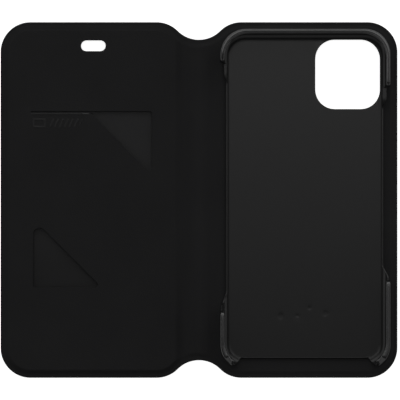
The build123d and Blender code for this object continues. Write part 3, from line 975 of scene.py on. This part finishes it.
# ---- Bumpers ----
# Where the top piece ends on each long side, and how far the lower ones go round their corners, in degrees.
TOP_LEFT_END, TOP_RIGHT_END = 64.6, 53.0
BUMPER_CORNER = 56.5
MOUTH_INSET = 1.1
MOUTH_R = 11.5
MOUTH_RANGE = (-6.0, 2.0)
HALVINGS = 30
END_ROUND = 2.4
PORT_FALL, PORT_FALL_LENGTH = 2.3, 4.8
RIM_OUTER_R, RIM_INNER_R, RIM_LEFT_R, RIM_LOWER_R = 0.6, 0.65, 1.1, 0.8
RIM_FALL = 0.035
GROOVE_HALF, GROOVE_DEPTH = 0.14, 0.16
# The section's corners: offsets of its foot, under the bowl; heights up its outer wall; its inner lip's
# least thickness, underside, fall and foot; and its gap over the shell's wall.
RIM_FOOT = (-2.2, -1.4, -0.6, 0.2)
OUTER_WALL = (8.2, 9.0)
SHOULDER = 0.6
LIP_LEAST, LIP_UNDER, LIP_FALL, LIP_FOOT = 0.25, 10.9, 1.3, 8.0
SHELL_GAP = 0.02
# The step along the sides, and the counts of steps along the top and round the corners.
RIM_STEP = 2.0
TOP_STEPS, TOP_ARC_STEPS, LOWER_ARC_STEPS = 30, 30, 19


def mouth_offset(point, normal):
    """Where a station's outward line meets the mouth of the rim, as an offset from the seat's side."""
    low, high = MOUTH_RANGE
    half = SEAT_HALF - Vector((MOUTH_INSET, MOUTH_INSET))
    for _ in range(HALVINGS):
        middle = (low + high) / 2
        if rounded_distance(point + normal * middle, half, MOUTH_R) > 0:
            high = middle
        else:
            low = middle
    return low


def crest(point, normal):
    """The rim's outer and inner edge radius, and its groove's depth. The left side has rounder edges, and
    the lower rims have no groove."""
    left = smooth(-1.3 * normal.x)
    outer_r = RIM_OUTER_R + (RIM_LEFT_R - RIM_OUTER_R) * left
    inner_r = RIM_INNER_R + (RIM_LOWER_R - RIM_INNER_R) * (1 if point.y < 0 else left)
    return outer_r, inner_r, GROOVE_DEPTH if point.y > 0 else 0.0


def turned(start, stop, step):
    """One less the sine, and one less the cosine, of angles in degrees."""
    angles = [math.radians(a) for a in range(start, stop, step)]
    return [(1 - math.sin(a), 1 - math.cos(a)) for a in angles]


def bumper_section(outer, mouth, drop, outer_r, inner_r, groove_depth):
    """The rim's cross-section at one station, as (offset, height), its top lowered by drop."""
    top = RIM_TOP - drop
    side_top = top - RIM_FALL
    under = WALL_TOP + SHELL_GAP
    section = [(RIM_FOOT[0], bowl_outer(RIM_FOOT[0]))]
    section += [(outer - SEAT_EDGE_R * s, TRAY_BASE + SEAT_EDGE_R * c) for s, c in turned(20, 91, 10)]
    section += [(outer, OUTER_WALL[0]), (outer, max(OUTER_WALL[1], top - outer_r - SHOULDER))]
    section += [(outer - outer_r * c, side_top - outer_r * s) for s, c in turned(0, 91, 15)]
    groove = (outer - outer_r + mouth + inner_r) / 2
    section += [(groove + GROOVE_HALF, top), (groove, top - groove_depth), (groove - GROOVE_HALF, top)]
    section += [(mouth + inner_r * c, side_top - inner_r * s) for s, c in turned(90, -1, -15)]
    lip_under = min(top - inner_r - LIP_LEAST, LIP_UNDER)
    section += [(mouth + 0.05, lip_under), (mouth * 0.45, lip_under - LIP_FALL), (0.0, LIP_FOOT)]
    section += [(SHELL_GAP, under), (SIDE_T, under), (SIDE_T, bowl_outer(SIDE_T))]
    return section + [(n, bowl_outer(n)) for n in reversed(RIM_FOOT[1:])]


def end_drop(away, is_round):
    """How far the rim's top comes down at a distance from its end: rounded off, or sloping to the port."""
    if is_round:
        return rounding(away, END_ROUND)
    return PORT_FALL * smooth(1 - away / PORT_FALL_LENGTH)


def bumper(name, stations, round_ends):
    """One rim piece along the stations. Its ends beside the buttons are round; the others face the port."""
    along = [0.0]
    for (a, _), (b, _) in zip(stations, stations[1:]):
        along.append(along[-1] + (b - a).length)
    rings = []
    for (point, normal), s in zip(stations, along):
        drop = max(end_drop(s, round_ends[0]), end_drop(along[-1] - s, round_ends[1]))
        outer = BUMPER_T + END_WALL_EXTRA * smooth(abs(normal.y))
        section = bumper_section(outer, mouth_offset(point, normal), drop, *crest(point, normal))
        rings.append([(*(TRAY + point + normal * n), z) for n, z in section])
    return sweep(name, rings, BUMPER_PLASTIC)


def side_run(side, y_from, y_to, fine_first, fine_last):
    """Stations up or down one long side, closer together near a rounded end."""
    normal = Vector((side, 0.0))
    length = abs(y_to - y_from)
    places = {min(length, RIM_STEP * i) for i in range(int(length / RIM_STEP) + 2)}
    ends = {END_ROUND * c for _, c in turned(0, 91, 9) if END_ROUND * c < length}
    if fine_first:
        places |= ends
    if fine_last:
        places |= {length - e for e in ends}
    way = 1 if y_to > y_from else -1
    return [(Vector((side * SEAT_HALF.x, y_from + way * s)), normal) for s in sorted(places)]


def bumpers():
    """The three rim pieces, each with the CAD node that it stands for."""
    w, h = SEAT_HALF
    straight = h - SEAT_R
    left_y, right_y = (cad_box(f"lower_{side}_bumper")[1].y - TRAY.y for side in ("left", "right"))
    top_places = [*np.linspace(w - SEAT_R - 3, SEAT_R + 3 - w, TOP_STEPS), SEAT_R - w]
    top = side_run(1, TOP_RIGHT_END, straight, True, False)
    top += corner_stations(1, 1, 0, 90, TOP_ARC_STEPS)[1:]
    top += [(Vector((x, h)), Vector((0, 1))) for x in top_places]
    top += corner_stations(-1, 1, 90, 90, TOP_ARC_STEPS)[1:]
    top += side_run(-1, straight, TOP_LEFT_END, False, True)[1:]
    left = side_run(-1, left_y, -straight, True, False)
    left += corner_stations(-1, -1, 180, BUMPER_CORNER, LOWER_ARC_STEPS)[1:]
    right = corner_stations(1, -1, -BUMPER_CORNER, BUMPER_CORNER, LOWER_ARC_STEPS)
    right += side_run(1, -straight, right_y, False, True)[1:]
    return [
        (bumper("top_rim", top, (True, True)), "top_bumper"),
        (bumper("lower_left_rim", left, (True, False)), "lower_left_bumper"),
        (bumper("lower_right_rim", right, (False, True)), "lower_right_bumper"),
    ]


# ---- Putting the object together ----
BOARD_SOFTNESS = 0.12
FILM_SOFTNESS = 0.03


def place(piece, slot, node, body):
    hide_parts(node)
    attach(piece, body)


def place_half(piece, side, nodes, inset, holes):
    """Half of the leather or of the lining, in the stead of its CAD nodes, which are hidden; its transform is
    baked into its mesh. Its area, that of its outline less its openings, is worked out."""
    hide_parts(*nodes)
    if side < 0:
        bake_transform(piece)
    else:
        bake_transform(piece)
    open_area = sum(turned_area(rounded_loop(*hole)) for hole in holes)
    area = (turned_area(half_outline(inset, side)) - open_area) / 2


def place_pad():
    pad = flap_pad()
    place(pad, "padding_foam", "flap_padding", "flap")
    return pad


def place_cover(pad):
    flap_holes = [pocket_mouth(), push_window(), earpiece_slot()]
    window = [camera_hole(COLLAR_T)]
    place_half(lining(-1, "front_lining_sheet"), -1,
               ["front_lining", "pocket_panel", "spine_lining"], LINING_SETBACK, flap_holes)
    place_half(lining(1, "back_lining_sheet"), 1,
               ["back_lining"], LINING_SETBACK, window)
    place_half(outer_skin(-1, "front_leather"), -1,
               ["front_outer_skin", "spine_outer_skin"], 0.0, [earpiece_slot()])
    place_half(outer_skin(1, "back_leather"), 1,
               ["back_outer_skin"], 0.0, window)


def place_cloth():
    cloth = pocket_cloth()
    place(cloth, "pocket_cloth", "pocket_backing", "flap")


def place_tray():
    for piece in (tray_shell(), camera_collar()):
        place(piece, "tray_plastic", "tray_shell", "back")
    for piece, node in bumpers():
        place(piece, "bumper_rim", node, "back")


def dress_inside():
    """Finishes and softened edges for the boards and the film inside the cover."""
    looks = [(node, BOARD, BOARD_SOFTNESS) for node in ("front_board", "spine_board", "back_board")]
    for node, material, softness in [*looks, ("tray_bond", FILM, FILM_SOFTNESS)]:
        obj = frame["nodes"][node]
        for material_slot in obj.material_slots:
            material_slot.material = material
        bevel = obj.modifiers.new("softened_edges", "BEVEL")
        bevel.width = softness * MM
        bevel.segments = 3


# ---- Stage, light and camera ----
CAMERA_HEIGHT = 1400.0
VIEW_WIDTH = 189.6
VIEW_CENTRE = Vector((0.49, 0.0))
SENSOR = 36.0
CLIP = (0.1, 20.0)
FLOOR_SIZE = 12000.0
FLOOR_DROP = 0.02
FLOOR_GLOW = 0.9
WORLD_STRENGTH = 0.03
WHITE = (1, 1, 1, 1)
# The softboxes, in metres: name, place, width and height, radiance. The overhead ones overlap towards the
# object's top end, so that the light grows stronger there.
SOFTBOXES = [
    ("overhead", (0.0, 0.165, 2.4), (2.66, 1.23), 0.17),
    ("overhead_mid", (0.0, 0.4, 2.42), (2.66, 0.76), 0.35),
    ("overhead_far", (0.0, 0.515, 2.44), (2.66, 0.53), 0.6),
    ("behind", (0.0, 1.4, 1.0), (3.4, 1.3), 0.95),
    ("in_front", (0.0, -1.45, 0.85), (3.0, 1.15), 0.32),
    ("left", (-1.5, 0.0, 0.45), (2.4, 0.8), 0.65),
    ("right", (1.5, 0.0, 0.45), (2.4, 0.8), 0.65),
]


def stage():
    """A plain pale floor, which neither shows in the object's gloss nor lights it."""
    m = Nodes("floor", roughness=0.9, specular=0.1)
    looks = {"Base Color": (0.95, 0.95, 0.95, 1), "Emission Color": WHITE, "Emission Strength": FLOOR_GLOW}
    set_inputs(m.shader, looks)
    corners = [(*corner, -FLOOR_DROP) for corner in rectangle((0, 0), FLOOR_SIZE, FLOOR_SIZE)]
    floor = make_object("floor", corners, [(0, 1, 2, 3)], m.material)
    floor.visible_glossy = False
    floor.visible_diffuse = False


def softbox(name, place, size, radiance):
    """A rectangular light that faces the object, as bright as radiance all over."""
    data = bpy.data.lights.new(name, "AREA")
    data.shape = "RECTANGLE"
    data.size, data.size_y = size
    data.energy = radiance * math.pi * size[0] * size[1]
    light = add_object(name, data)
    light.location = place
    light.rotation_euler = (-Vector(place)).to_track_quat("-Z", "Y").to_euler()


def lights():
    for box in SOFTBOXES:
        softbox(*box)
    world = bpy.data.worlds.new("studio")
    world.use_nodes = True
    set_inputs(world.node_tree.nodes["Background"], {"Color": WHITE, "Strength": WORLD_STRENGTH})
    bpy.context.scene.world = world
    bpy.context.scene.view_settings.view_transform = "Standard"


def camera():
    """Straight above the object, about its middle."""
    data = bpy.data.cameras.new("camera")
    data.sensor_width = SENSOR
    data.lens = SENSOR * CAMERA_HEIGHT / VIEW_WIDTH
    data.clip_start, data.clip_end = CLIP
    cam = add_object("camera", data)
    cam.location = (VIEW_CENTRE.x * MM, VIEW_CENTRE.y * MM, CAMERA_HEIGHT * MM)
    bpy.context.scene.camera = cam


stage()
lights()
camera()
place_cover(place_pad())
place_cloth()
place_tray()
dress_inside()
